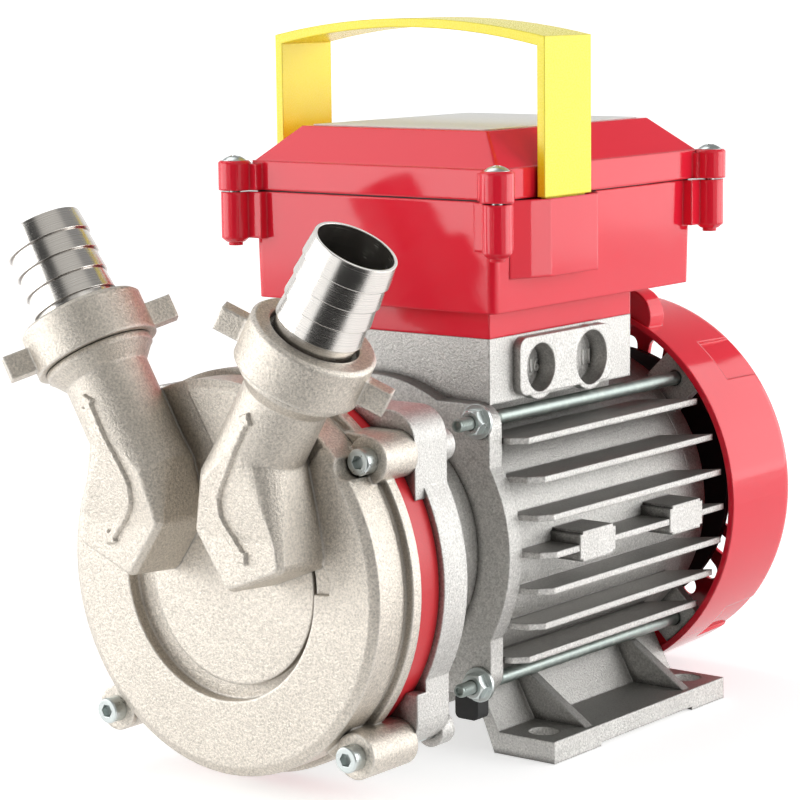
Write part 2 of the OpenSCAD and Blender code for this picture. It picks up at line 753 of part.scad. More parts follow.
// Round body of the cover with its groove behind the wall, sunk middle and crescent groove
module cover_body() {
  difference() {
    union() {
      bar_y(cover_flat_r, face_y, face_y + 1.6, r2 = cover_r);
      bar_y(cover_r, face_y + 1.6, rim_y - cover_rim_w - slit_w);
      bar_y(cover_r - 1.2, rim_y - cover_rim_w - slit_w - 1, rim_y);
      bar_y(cover_rim_r, rim_y - cover_rim_w, rim_y);
    }
    slab_y(face_y - 1, face_y + disc_depth) {
      circle(r = disc_r);
      sunk_area();
      mirror([1, 0]) sunk_area();
    }
    slab_y(face_y, face_y + disc_depth + groove_depth) difference() {
      circle(r = disc_r);
      translate([4.4, 0]) circle(r = disc_r - 5.8);
      translate([-60, 14]) square([120, 60]);
    }
  }
}

module pump_cover() {
  color([0.80, 0.76, 0.70]) difference() {
    union() {
      cover_body();
      for (p = pillars) screw_pillar(p);
      for (side = [-1, 1]) port_casting(side);
    }
    // Screw holes, room for the screw heads and for the ring behind the pillars
    for (p = pillars) {
      bar_y(screw_d / 2 + fit, p[2] - 1, ear_y + 1, p[0], p[1]);
      bar_y(screw_head_d / 2 + 0.6, face_y - 1, p[2], p[0], p[1]);
    }
    bar_y(ring_r + fit, rim_y, ear_y + 1);
    // Flow passages down the ports and back through the cover
    for (side = [-1, 1]) {
      at_port(side) translate([0, 0, -knee_t]) cylinder(h = knee_t, r = port_bore_r);
      at_port(side) translate([0, 0, -knee_t]) sphere(r = port_bore_r + 1);
      bar_y(port_bore_r - 2.5, boot_y + 4, rim_y + 1, side * 23, 22);
    }
    bar_y(bearing_bore / 2 + 1, rim_y - 6, rim_y + 1);
  }
}

module cover_screws() {
  color([0.80, 0.82, 0.82]) for (p = pillars) difference() {
    union() {
      bar_y(screw_d / 2, p[2], adapter_back + 3, p[0], p[1]);
      bar_y(screw_head_d / 2 - 0.4, p[2] - head_h, p[2] - head_h + 0.4, p[0], p[1], screw_head_d / 2);
      bar_y(screw_head_d / 2, p[2] - head_h + 0.4, p[2], p[0], p[1]);
    }
    translate([p[0], p[2] - head_h - 1, axis_h + p[1]]) rotate([-90, 0, 0])
      cylinder(h = 3.6, r = 4 / sqrt(3), $fn = 6);
  }
}

module impeller() {
  root_r = 26;
  pocket_w = 2 * root_r * tan(180 / impeller_blades) - 2;
  color([0.78, 0.60, 0.33]) difference() {
    bar_y(impeller_r, rim_y + fit, adapter_y - fit);
    bar_y(bearing_bore / 2 - 1, rim_y - 1, adapter_y + 1);
    for (i = [0:impeller_blades - 1])
      translate([0, rim_y - 1, axis_h]) rotate([0, i * 360 / impeller_blades, 0])
        translate([root_r, 0, -pocket_w / 2]) cube([impeller_r, ring_w + 2, pocket_w]);
  }
}

module seal_seat() {
  color([0.85, 0.83, 0.78]) ring_y(seal_r, bearing_bore / 2, seal_y, seal_y + seal_seat_t);
}

module seal_rotary() {
  face = seal_y + seal_seat_t;
  color([0.25, 0.25, 0.27]) {
    ring_y(seal_r - 1.5, bearing_bore / 2 - 1, face + tight, face + seal_face_t);
    ring_y(seal_r - 2.5, bearing_bore / 2 - 1, face + seal_face_t - 0.5, seal_y + seal_l);
  }
}

module hose_tail(side) {
  barbs = 4;
  first = tail_l - (barbs - 1) * barb_pitch - 3.3;
  color([0.84, 0.83, 0.81]) at_port(side) difference() {
    union() {
      // Seat collar, held by the nut against the gasket
      translate([0, 0, -mouth]) cylinder(h = mouth - nut_roof - 0.1, r = thread_r);
      translate([0, 0, -mouth]) cylinder(h = mouth + tail_l - 1, r = barb_r - 0.9);
      for (i = [0:barbs - 1]) {
        low = 3.3 + i * barb_pitch;
        len = i == barbs - 1 ? first : barb_pitch;
        translate([0, 0, low]) cylinder(h = len, r1 = barb_r, r2 = barb_r - 0.8);
      }
    }
    translate([0, 0, -mouth - 1]) cylinder(h = mouth + tail_l + 2, r = tail_bore_r);
  }
}

module left_hose_tail() {
  hose_tail(-1);
}

module right_hose_tail() {
  hose_tail(1);
}

module union_nut(side) {
  color([0.80, 0.76, 0.70]) at_port(side) difference() {
    union() {
      translate([0, 0, -1]) cylinder(h = 1, r1 = nut_r, r2 = nut_r - 1);
      translate([0, 0, -union_h]) cylinder(h = union_h - 1, r = nut_r);
      rotate([0, 0, lug_turn[side < 0 ? 1 : 0]]) for (m = [0, 1]) mirror([m, 0, 0])
        translate([nut_r - 1.5, -lug_t / 2, -union_h + 2]) cube([lug_reach - nut_r + 1.5, lug_t, lug_w]);
    }
    translate([0, 0, -3]) cylinder(h = 4, r = nut_bore_r);
    translate([0, 0, -union_h - 1]) cylinder(h = union_h + 1 - nut_roof, r = thread_r + run);
  }
}

module left_union_nut() {
  union_nut(-1);
}

module right_union_nut() {
  union_nut(1);
}

module port_gasket(side) {
  color([0.12, 0.12, 0.12]) at_port(side)
    ring_z(thread_r - 0.4, port_bore_r + 0.5, -mouth - gasket_t, -mouth);
}

module left_port_gasket() {
  port_gasket(-1);
}

module right_port_gasket() {
  port_gasket(1);
}

// Side pocket that takes one handle leg and fades into the box wall behind it
module pocket_plan() {
  polygon([[box_half - 1, pocket_y], [box_half, pocket_y], [box_half + 0.6 * pocket_out, pocket_y + 6.5],
           [leg_out + 0.5, pocket_y + 14.4], [leg_out + 0.5, pocket_y + 42], [box_half, pocket_y + 50],
           [box_half - 1, pocket_y + 50]]);
}

// Webs that tie the four screw bosses to a box or lid of half width half and length l
module corner_webs(z0, z1, half, y0, l) {
  for (m = [0, 1], e = [0, 1]) mirror([m, 0, 0]) translate([0, y0 + l / 2, 0]) mirror([0, e, 0])
    translate([half - 6, l / 2 - 6, z0]) cube([box_half + lid_screw_x - half + 5, 9, z1 - z0]);
}

module terminal_box() {
  color([0.84, 0.12, 0.14]) difference() {
    union() {
      translate([-base_half, base_y, base_low + base_h]) cube([2 * base_half, base_l, box_neck_h]);
      // Tub with a little draft
      hull() {
        translate([0, 0, neck_top]) linear_extrude(height = 0.5)
          round_rect(-box_half + 0.6, box_half - 0.6, box_y + 0.6, box_y + box_l - 0.6, 3);
        translate([0, 0, box_top - 1.5]) linear_extrude(height = 1)
          round_rect(-box_half, box_half, box_y, box_y + box_l, 3);
      }
      for (m = [0, 1]) mirror([m, 0, 0])
        translate([0, 0, pocket_z]) linear_extrude(height = box_top - 0.5 - pocket_z) pocket_plan();
      for (p = lid_screws) {
        translate([p[0], p[1], boss_low]) cylinder(h = box_top - 0.5 - boss_low, r = box_boss_r);
        translate([p[0], p[1], boss_low - 1.4]) cylinder(h = 1.4, r1 = box_boss_r - 1.6, r2 = box_boss_r);
        translate([p[0], p[1], boss_low - 2.6]) cylinder(h = 1.4, r = box_boss_r - 2.4);
      }
      corner_webs(boss_low, box_top - 0.5, box_half, box_y, box_l);
    }
    translate([-box_half + box_wall, box_y + box_wall, neck_top + box_wall])
      cube([2 * (box_half - box_wall), box_l - 2 * box_wall, box_h]);
    translate([0, cable_y, base_low + base_h - 1]) cylinder(h = 20, r = cable_r);
    for (p = lid_screws) translate([p[0], p[1], lid_z - lid_screw_in - 1])
      cylinder(h = lid_screw_in + 7, r = lid_screw_r + fit);
    // Slots for the handle tongues
    for (m = [0, 1]) mirror([m, 0, 0]) translate([leg_in - fit, strap_y + tongue_in - fit, tongue_z - fit])
      cube([tongue_t + 2 * fit, strap_w - 2 * tongue_in + 2 * fit, box_h]);
  }
}

module lid_gasket() {
  color([0.08, 0.08, 0.08]) translate([0, 0, box_top - 0.5]) linear_extrude(height = 0.5) difference() {
    round_rect(-box_half + 0.3, box_half - 0.3, box_y + 0.3, box_y + box_l - 0.3, 3);
    round_rect(-box_half + box_wall, box_half - box_wall, box_y + box_wall, box_y + box_l - box_wall, 1.5);
  }
}

module terminal_lid() {
  color([0.84, 0.12, 0.14]) difference() {
    union() {
      translate([0, 0, lid_z]) linear_extrude(height = lid_skirt)
        round_rect(-lid_half, lid_half, lid_y, lid_y + lid_l, 3);
      // Sloped top
      hull() {
        translate([0, 0, skirt_top - 0.5]) linear_extrude(height = 0.5)
          round_rect(-lid_half + 1, lid_half - 1, lid_y + 1, lid_y + lid_l - 1, 2);
        translate([0, 0, lid_top_z - 0.5]) linear_extrude(height = 0.5)
          round_rect(-lid_top_half, lid_top_half, lid_top_y, lid_top_y + lid_top_l, 1);
      }
      for (p = lid_screws) {
        translate([p[0], p[1], lid_z]) cylinder(h = lid_skirt - 0.6, r = lid_boss_r);
        translate([p[0], p[1], lid_z + lid_skirt - 0.6])
          cylinder(h = 0.7, r1 = lid_boss_r, r2 = lid_boss_r - 0.7);
      }
      corner_webs(lid_z, skirt_top - 1, lid_half, lid_y, lid_l);
    }
    translate([-box_half + box_wall, box_y + box_wall, lid_z - 1])
      cube([2 * (box_half - box_wall), box_l - 2 * box_wall, lid_skirt + 1]);
    for (p = lid_screws) translate([p[0], p[1], lid_z - 1]) cylinder(h = 20, r = lid_screw_r + 2 * fit);
  }
}

module lid_screws() {
  color([0.80, 0.82, 0.82]) for (p = lid_screws) translate([p[0], p[1], 0]) {
    translate([0, 0, lid_z - lid_screw_in]) cylinder(h = lid_skirt + lid_screw_in + 0.2, r = lid_screw_r);
    translate([0, 0, lid_z + lid_skirt + 0.1]) difference() {
      intersection() {
        cylinder(h = 2, r = 4.3);
        translate([0, 0, -4.2]) sphere(r = 6);
      }
      for (a = [0, 90]) rotate(a) translate([-2.2, -0.5, 1]) cube([4.4, 1, 2]);
    }
  }
}

module capacitor() {
  color([0.88, 0.88, 0.86])
    translate([capacitor_x, box_y + 18, neck_top + box_wall + capacitor_r + 0.1]) rotate([-90, 0, 0])
      cylinder(h = capacitor_l, r = capacitor_r);
}

module terminal_block() {
  color([0.15, 0.15, 0.16]) translate([block_x, box_y + 25, neck_top + box_wall]) {
    cube([block_w, block_l, block_h]);
    for (i = [0:5]) translate([2, 2 + i * block_l / 6, block_h - 1]) cube([block_w - 4, 6, 6]);
  }
}

// Side view of the strap in X and Z: straight legs under a low round crown
module strap_outline(half, crown) {
  rise = crown - shoulder_top;
  bow = (half * half + rise * rise) / (2 * rise);
  intersection() {
    translate([-half, box_top]) square([2 * half, crown - box_top + 1]);
    translate([0, crown - bow]) circle(r = bow, $fn = 240);
  }
}

module handle() {
  color([0.98, 0.86, 0.20]) {
    translate([0, strap_y + strap_w, 0]) rotate([90, 0, 0]) linear_extrude(height = strap_w) difference() {
      strap_outline(leg_out, crown_top);
      translate([0, -strap_t]) strap_outline(leg_in, crown_top);
    }
    // Tongues that snap into the pockets
    for (m = [0, 1]) mirror([m, 0, 0]) translate([leg_in, strap_y + tongue_in, tongue_z])
      cube([tongue_t, strap_w - 2 * tongue_in, box_top - tongue_z + 1]);
  }
}

module label_plate() {
  color([0.93, 0.93, 0.91]) translate([0, 0, lid_top_z])
    linear_extrude(height = 0.4)
      round_rect(-lid_top_half + 2, lid_top_half - 2, lid_top_y + 3, lid_top_y + lid_top_l - 3, 2);
}

module rubber_buffer() {
  color([0.06, 0.06, 0.06]) translate([0, flange_y + buffer_t, 0]) rotate([90, 0, 0])
    linear_extrude(height = buffer_t)
      round_rect(buffer_x[0], buffer_x[1], axis_h - flange_half - buffer_h, axis_h - flange_half, 2);
}

motor_housing();
rear_shield();
tie_rods();
tie_nuts();
fan_cover();
cooling_fan();
shaft();
rotor();
stator();
windings();
front_bearing_outer();
front_bearing_inner();
rear_bearing_outer();
rear_bearing_inner();
adapter();
intermediate_ring();
pump_cover();
cover_screws();
impeller();
seal_seat();
seal_rotary();
left_hose_tail();
right_hose_tail();
left_union_nut();
right_union_nut();
left_port_gasket();
right_port_gasket();
terminal_box();
lid_gasket();
terminal_lid();
lid_screws();
capacitor();
terminal_block();
handle();
label_plate();
rubber_buffer();
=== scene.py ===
"""Looks for an electric transfer pump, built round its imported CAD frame. Metres, in the part's own frame."""
import math

import bmesh
import bpy
from mathutils import Matrix, Vector
from mathutils.bvhtree import BVHTree
from mathutils.geometry import delaunay_2d_cdt


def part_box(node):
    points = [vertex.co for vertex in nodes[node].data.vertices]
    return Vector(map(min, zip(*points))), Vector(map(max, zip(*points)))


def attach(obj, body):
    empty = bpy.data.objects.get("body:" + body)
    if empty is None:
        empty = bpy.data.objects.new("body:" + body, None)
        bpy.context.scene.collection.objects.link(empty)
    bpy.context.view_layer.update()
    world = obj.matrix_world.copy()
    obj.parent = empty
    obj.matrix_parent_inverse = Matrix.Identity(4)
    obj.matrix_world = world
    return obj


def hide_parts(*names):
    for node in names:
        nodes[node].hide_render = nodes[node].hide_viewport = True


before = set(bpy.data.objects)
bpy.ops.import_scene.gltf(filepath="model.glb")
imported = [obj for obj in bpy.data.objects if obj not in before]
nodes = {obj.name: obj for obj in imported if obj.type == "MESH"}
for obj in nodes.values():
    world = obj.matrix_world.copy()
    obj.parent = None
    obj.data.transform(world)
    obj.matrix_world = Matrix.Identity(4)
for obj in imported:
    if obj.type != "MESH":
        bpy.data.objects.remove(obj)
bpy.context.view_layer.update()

MM = 0.001
AXIS_H = 71 * MM


# Camera, solved from the round edges, the box edges and the foot in the photograph
CAMERA_AT = Vector((0.58491, -0.80036, 0.26065))
CAMERA_YAW = math.radians(37.98)
CAMERA_PITCH = math.radians(-8.62)
CAMERA_ROLL = math.radians(-0.67)
FOCAL_PX = 2800.8
CENTRE_PX = (398.68, 401.42)
IMAGE_PX = 800
SENSOR = 36.0
CLIP_NEAR = 0.05
CLIP_FAR = 200


def add_camera():
    forward = Vector((-math.sin(CAMERA_YAW) * math.cos(CAMERA_PITCH),
                      math.cos(CAMERA_YAW) * math.cos(CAMERA_PITCH), math.sin(CAMERA_PITCH)))
    level = Vector((math.cos(CAMERA_YAW), math.sin(CAMERA_YAW), 0))
    upright = level.cross(forward)
    right = level * math.cos(CAMERA_ROLL) + upright * math.sin(CAMERA_ROLL)
    up = upright * math.cos(CAMERA_ROLL) - level * math.sin(CAMERA_ROLL)
    data = bpy.data.cameras.new("camera")
    data.sensor_width = SENSOR
    data.lens = FOCAL_PX / IMAGE_PX * SENSOR
    data.shift_x = (IMAGE_PX / 2 - CENTRE_PX[0]) / IMAGE_PX
    data.shift_y = (CENTRE_PX[1] - IMAGE_PX / 2) / IMAGE_PX
    data.clip_start = CLIP_NEAR
    data.clip_end = CLIP_FAR
    camera = bpy.data.objects.new("camera", data)
    turn = Matrix((right, up, -forward)).transposed()
    camera.matrix_world = Matrix.Translation(CAMERA_AT) @ turn.to_4x4()
    bpy.context.scene.collection.objects.link(camera)
    bpy.context.scene.camera = camera


# Materials

class Look:
    """One procedural material. Sizes given to its textures are in millimetres."""

    def __init__(self, name, color, metallic=0.0, rough=0.5):
        self.material = bpy.data.materials.new(name)
        self.material.use_nodes = True
        self.tree = self.material.node_tree
        self.shader = self.tree.nodes["Principled BSDF"]
        self.shader.inputs["Metallic"].default_value = metallic
        self.color = self.rgb(color)
        self.rough = self.value(rough)
        self.normal = None
        self.place = self.add("ShaderNodeTexCoord").outputs["Object"]

    def add(self, kind, **settings):
        node = self.tree.nodes.new(kind)
        for key, value in settings.items():
            setattr(node, key, value)
        return node

    def link(self, source, target):
        if isinstance(source, (int, float)):
            target.default_value = source
        else:
            self.tree.links.new(source, target)

    def rgb(self, color):
        node = self.add("ShaderNodeRGB")
        node.outputs[0].default_value = (*color, 1)
        return node.outputs[0]

    def value(self, number):
        node = self.add("ShaderNodeValue")
        node.outputs[0].default_value = number
        return node.outputs[0]

    def math(self, operation, a, b=0.5, clamp=False):
        node = self.add("ShaderNodeMath", operation=operation, use_clamp=clamp)
        self.link(a, node.inputs[0])
        self.link(b, node.inputs[1])
        return node.outputs[0]

    def noise(self, size, detail=2.0, rough=0.55, place=None):
        node = self.add("ShaderNodeTexNoise")
        node.inputs["Scale"].default_value = 1 / (size * MM)
        node.inputs["Detail"].default_value = detail
        node.inputs["Roughness"].default_value = rough
        self.link(place or self.place, node.inputs["Vector"])
        return node.outputs["Fac"]

    def between(self, amount, low, high, out_low=0.0, out_high=1.0):
        node = self.add("ShaderNodeMapRange")
        for slot, value in zip(node.inputs[1:5], (low, high, out_low, out_high)):
            slot.default_value = value
        self.link(amount, node.inputs[0])
        return node.outputs[0]

    def tint(self, amount, color, blend="MIX"):
        node = self.add("ShaderNodeMix", data_type="RGBA", blend_type=blend)
        self.link(amount, node.inputs["Factor"])
        self.tree.links.new(self.color, node.inputs[6])
        node.inputs[7].default_value = (*color, 1)
        self.color = node.outputs[2]

    def shade(self, amount, low, high):
        """Multiplies the colour by a factor between low and high."""
        factor = self.between(amount, 0.25, 0.75, low, high)
        node = self.add("ShaderNodeVectorMath", operation="SCALE")
        self.link(self.color, node.inputs[0])
        self.link(factor, node.inputs["Scale"])
        self.color = node.outputs[0]

    def roughen(self, amount, low, high):
        change = self.between(amount, 0.25, 0.75, low, high)
        self.rough = self.math("ADD", self.rough, change, clamp=True)

    def bump(self, height, depth, strength=1.0):
        node = self.add("ShaderNodeBump")
        node.inputs["Strength"].default_value = strength
        node.inputs["Distance"].default_value = depth * MM
        self.link(height, node.inputs["Height"])
        if self.normal:
            self.link(self.normal, node.inputs["Normal"])
        self.normal = node.outputs[0]

    def soft_edges(self, radius):
        """Rounds the edges in the shading and returns how close each point is to one."""
        node = self.add("ShaderNodeBevel", samples=8)
        node.inputs["Radius"].default_value = radius * MM
        self.normal = node.outputs[0]
        flat = self.add("ShaderNodeNewGeometry").outputs["Normal"]
        dot = self.add("ShaderNodeVectorMath", operation="DOT_PRODUCT")
        self.link(self.normal, dot.inputs[0])
        self.link(flat, dot.inputs[1])
        return self.between(dot.outputs["Value"], 0.999, 0.90)

    def facing(self, direction, low, high):
        """How squarely the edge-rounded surface faces a direction, from 0 at dot product low to 1 at high."""
        dot = self.add("ShaderNodeVectorMath", operation="DOT_PRODUCT")
        self.link(self.normal, dot.inputs[0])
        dot.inputs[1].default_value = direction
        return self.between(dot.outputs["Value"], low, high)

    def creases(self, distance):
        """How far a point lies inside a corner, from 0 in the open to 1."""
        node = self.add("ShaderNodeAmbientOcclusion", samples=8)
        node.inputs["Distance"].default_value = distance * MM
        return self.math("SUBTRACT", 1.0, node.outputs["AO"])

    def done(self, **shader):
        self.link(self.color, self.shader.inputs["Base Color"])
        self.link(self.rough, self.shader.inputs["Roughness"])
        if self.normal:
            self.link(self.normal, self.shader.inputs["Normal"])
        for key, value in shader.items():
            self.shader.inputs[key.replace("_", " ")].default_value = value
        return self.material


def cast_aluminium(name, top_shade):
    """Blasted casting. Faces that look up are darkened by the share given as the second argument: painted
    shade. Corners get painted shade too, deepest where they look to the front."""
    look = Look(name, (0.60, 0.59, 0.565), metallic=0.88, rough=0.46)
    look.soft_edges(1.0)
    upward = look.facing((0, 0, 1), 0.15, 0.75)
    grain = look.noise(0.75, 3, 0.75)
    patches = look.noise(14, 3)
    look.shade(grain, 0.55, 1.36)
    look.shade(patches, 0.93, 1.06)
    # Painted shade: faces that look up are darkened where the light from above falls short
    look.tint(look.math("MULTIPLY", upward, top_shade), (0.11, 0.105, 0.10))
    # Painted shade: corners are darkened, most of all those that look to the front, and fine creases get dark
    # lines
    look.tint(look.between(look.creases(18), 0.75, 1.0, 0, 0.25), (0.05, 0.045, 0.04))
    step = look.math("MULTIPLY", look.facing((0, -1, 0), 0.5, 0.9), look.between(look.creases(6), 0.25, 0.50))
    look.tint(look.math("MULTIPLY", step, 0.85), (0.03, 0.026, 0.022))
    look.tint(look.between(look.creases(1.6), 0.38, 0.75, 0, 0.85), (0.035, 0.03, 0.025))
    look.roughen(grain, -0.10, 0.12)
    look.bump(grain, 0.42, 0.8)
    look.bump(patches, 0.5, 0.25)
    return look.done()


def nickel_blasted(name, edge_radius):
    """Blasted nickel plate with edges rounded in the shading by edge_radius millimetres."""
    look = Look(name, (0.66, 0.61, 0.54), metallic=0.92, rough=0.40)
    edge = look.soft_edges(edge_radius)
    grain = look.noise(0.75, 3, 0.75)
    patches = look.noise(22, 3)
    look.shade(grain, 0.55, 1.38)
    look.shade(patches, 0.96, 1.03)
    # Painted shade: corners and creases are darkened in the colour
    look.tint(look.between(look.creases(9), 0.35, 0.95, 0, 0.50), (0.20, 0.175, 0.15))
    look.tint(look.between(look.creases(1.4), 0.30, 0.75, 0, 0.75), (0.07, 0.06, 0.05))
    # Painted highlight along the rounded edges, partly rubbed wear
    look.tint(look.math("MULTIPLY", edge, 0.3), (0.90, 0.87, 0.82))
    look.roughen(grain, -0.07, 0.08)
    look.bump(grain, 0.42, 0.8)
    look.bump(patches, 0.6, 0.2)
    return look.done()


def turned_nickel(name, side):
    """Bright turned plate: fine rings run round the axis of the left (-1) or right (1) port."""
    look = Look(name, (0.76, 0.73, 0.69), metallic=1.0, rough=0.20)
    look.soft_edges(0.35)
    tilt = math.radians(PORT_TILT)
    port_axis = (side * math.sin(tilt), 0, math.cos(tilt))
    mouth = look.facing(port_axis, 0.75, 0.95)
    # Painted highlight: the turned end faces are painted near white; their extra roughness is the machined
    # face
    look.tint(mouth, (0.97, 0.96, 0.94))
    look.rough = look.math("ADD", look.rough, look.math("MULTIPLY", mouth, 0.45))
    along = look.add("ShaderNodeVectorMath", operation="DOT_PRODUCT")
    look.link(look.place, along.inputs[0])
    along.inputs[1].default_value = port_axis
    spread = look.add("ShaderNodeCombineXYZ")
    look.link(along.outputs["Value"], spread.inputs[2])
    rings = look.noise(0.35, 2, 0.6, spread.outputs[0])
    smudges = look.noise(9, 3)
    # Painted shade: creases and the deep inside of the bore are darkened
    look.tint(look.between(look.creases(1.3), 0.22, 0.60, 0, 0.85), (0.07, 0.05, 0.04))
    look.tint(look.between(look.creases(30), 0.75, 0.97, 0, 0.90), (0.01, 0.009, 0.008))
    look.shade(rings, 0.78, 1.16)
    look.roughen(rings, -0.05, 0.06)
    look.roughen(smudges, -0.03, 0.08)
    look.bump(rings, 0.03, 0.7)
    return look.done()


def red_gloss():
    look = Look("red_gloss", (0.84, 0.018, 0.042), rough=0.07)
    edge = look.soft_edges(1.1)
    look.shade(look.noise(45, 2), 0.98, 1.02)
    # Painted shade: deep recesses, such as the inside of the hood, are darkened
    look.tint(look.between(look.creases(38), 0.55, 0.95, 0, 0.80), (0.10, 0.001, 0.006))
    # Painted highlight: the rounded edges are lightened
    look.tint(look.math("MULTIPLY", edge, 0.2), (0.85, 0.08, 0.09))
    look.roughen(look.noise(9, 3, 0.6), -0.01, 0.03)
    look.bump(look.noise(7, 2), 0.004, 0.5)
    return look.done(Specular_IOR_Level=0.4)


def red_enamel():
    look = Look("red_enamel", (0.70, 0.026, 0.036), rough=0.34)
    edge = look.soft_edges(0.5)
    grain = look.noise(0.8, 3, 0.7)
    look.shade(grain, 0.94, 1.05)
    # Painted highlight: the rounded edges are lightened
    look.tint(look.math("MULTIPLY", edge, 0.3), (0.75, 0.12, 0.10))
    look.roughen(grain, -0.05, 0.08)
    look.bump(grain, 0.06, 0.6)
    return look.done()


def yellow_satin():
    look = Look("yellow_satin", (1.0, 0.88, 0.02), rough=0.26)
    edge = look.soft_edges(0.7)
    grain = look.noise(0.5, 3, 0.7)
    look.shade(look.noise(24, 2), 0.97, 1.03)
    # Painted highlight: the rounded edges are lightened
    look.tint(look.math("MULTIPLY", edge, 0.3), (1.0, 0.85, 0.18))
    look.roughen(grain, -0.04, 0.07)
    look.bump(grain, 0.03, 0.5)
    return look.done()


def zinc_plate(name, color, rough):
    look = Look(name, color, metallic=1.0, rough=rough)
    look.soft_edges(0.3)
    stain = look.noise(3.0, 4, 0.6)
    look.tint(look.between(stain, 0.45, 0.75, 0, 0.25), (0.72, 0.80, 0.72))
    look.roughen(stain, -0.06, 0.12)
    look.bump(look.noise(0.4, 2), 0.02, 0.5)
    return look.done()


def plain_metal(name, color, rough, grain_size):
    look = Look(name, color, metallic=1.0, rough=rough)
    look.soft_edges(0.4)
    grain = look.noise(grain_size, 3, 0.6)
    look.shade(grain, 0.88, 1.08)
    look.roughen(grain, -0.06, 0.08)
    look.bump(grain, 0.03, 0.5)
    return look.done()


def plain_polymer(name, color, rough, grain_size):
    look = Look(name, color, rough=rough)
    look.soft_edges(0.4)
    grain = look.noise(grain_size, 3, 0.65)
    look.shade(grain, 0.90, 1.08)
    look.roughen(grain, -0.06, 0.08)
    look.bump(grain, 0.04, 0.5)
    return look.done()


# Lean of each port away from the middle plane, in degrees
PORT_TILT = 30.8

CASTING = cast_aluminium("cast_aluminium", 0.0)
# The housing copy carries painted shade on its faces that look up
HOUSING = cast_aluminium("cast_housing", 0.55)
# Painted light: the entry numbers are painted brighter than the casting, standing in for light on the shaded
# bore floors
NUMBERS_PAINTED_LIT = plain_metal("casting_painted_lit", (0.90, 0.89, 0.86), 0.45, 0.8)
NICKEL = nickel_blasted("nickel_blasted", 1.5)
NICKEL_CRISP = nickel_blasted("nickel_crisp", 0.25)
RED = red_gloss()
ENAMEL = red_enamel()
YELLOW = yellow_satin()
ZINC = zinc_plate("zinc_plate", (0.60, 0.645, 0.64), 0.28)
ROD_ZINC = zinc_plate("zinc_rod", (0.29, 0.33, 0.312), 0.40)
STEEL = plain_metal("ground_steel", (0.52, 0.53, 0.55), 0.32, 0.6)
COPPER = plain_metal("varnished_copper", (0.60, 0.26, 0.11), 0.35, 0.9)
BRASS = plain_metal("machined_brass", (0.72, 0.50, 0.22), 0.28, 0.5)
CERAMIC = plain_polymer("ceramic", (0.80, 0.77, 0.70), 0.3, 0.6)
RUBBER = plain_polymer("rubber", (0.018, 0.018, 0.018), 0.62, 0.7)
BLACK = plain_polymer("black_polymer", (0.024, 0.018, 0.019), 0.40, 0.9)
WHITE = plain_polymer("white_film", (0.80, 0.80, 0.79), 0.40, 1.2)

LOOKS = {
    "motor_housing": HOUSING, "rear_shield": HOUSING, "adapter": CASTING,
    "pump_cover": NICKEL, "left_union_nut": NICKEL, "right_union_nut": NICKEL,
    "left_hose_tail": turned_nickel("turned_nickel_left", -1),
    "right_hose_tail": turned_nickel("turned_nickel_right", 1),
    "terminal_box": RED, "terminal_lid": RED, "fan_cover": RED, "intermediate_ring": ENAMEL,
    "handle": YELLOW, "tie_rods": ROD_ZINC, "tie_nuts": ZINC, "cover_screws": ZINC, "lid_screws": ZINC,
    "shaft": STEEL, "rotor": STEEL, "stator": STEEL, "front_bearing_outer": STEEL,
    "front_bearing_inner": STEEL, "rear_bearing_outer": STEEL, "rear_bearing_inner": STEEL,
    "windings": COPPER, "impeller": BRASS, "seal_seat": CERAMIC, "seal_rotary": RUBBER,
    "left_port_gasket": RUBBER, "right_port_gasket": RUBBER, "lid_gasket": RUBBER,
    "rubber_buffer": RUBBER, "cooling_fan": BLACK, "terminal_block": BLACK, "capacitor": WHITE,
    "label_plate": WHITE,
}


def dress_nodes():
    for name, node in nodes.items():
        for slot in node.material_slots:
            slot.material = LOOKS[name]


# Mesh helpers

def new_piece(name, points, faces, material, body="frame", smooth=True):
    mesh = bpy.data.meshes.new(name)
    mesh.from_pydata([tuple(p) for p in points], [], faces)
    mesh.materials.append(material)
    piece = bpy.data.objects.new(name, mesh)
    bpy.context.scene.collection.objects.link(piece)
    tidy = bmesh.new()
    tidy.from_mesh(mesh)
    bmesh.ops.recalc_face_normals(tidy, faces=tidy.faces)
    tidy.to_mesh(mesh)
    tidy.free()
    for polygon in mesh.polygons:
        polygon.use_smooth = smooth
    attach(piece, body)
    return piece


def surface_of(name):
    data = nodes[name].data
    return BVHTree.FromPolygons([v.co for v in data.vertices], [p.vertices for p in data.polygons])


def inside(point, outline):
    """Whether a flat point lies in a closed outline."""
    count = 0
    for a, b in zip(outline, outline[1:] + outline[:1]):
        if (a[1] > point[1]) != (b[1] > point[1]):
            if point[0] < a[0] + (point[1] - a[1]) / (b[1] - a[1]) * (b[0] - a[0]):
                count += 1
    return count % 2 == 1


def gap_to(point, outline):
    """Distance from a flat point to the nearest side of a closed outline."""
    best = 1e9
    for a, b in zip(outline, outline[1:] + outline[:1]):
        side = b - a
        t = max(0, min(1, (point - a).dot(side) / max(side.length_squared, 1e-12)))
        best = min(best, (point - a - side * t).length)
    return best


def resample(outline, step):
    points = []
    for a, b in zip(outline, outline[1:] + outline[:1]):
        count = max(1, round((b - a).length / step))
        points += [a.lerp(b, i / count) for i in range(count)]
    return points


# How far raised shapes sink into the surface in millimetres, and where rays start in front of the part
SUNK = 0.15
RAY_FROM = -0.3


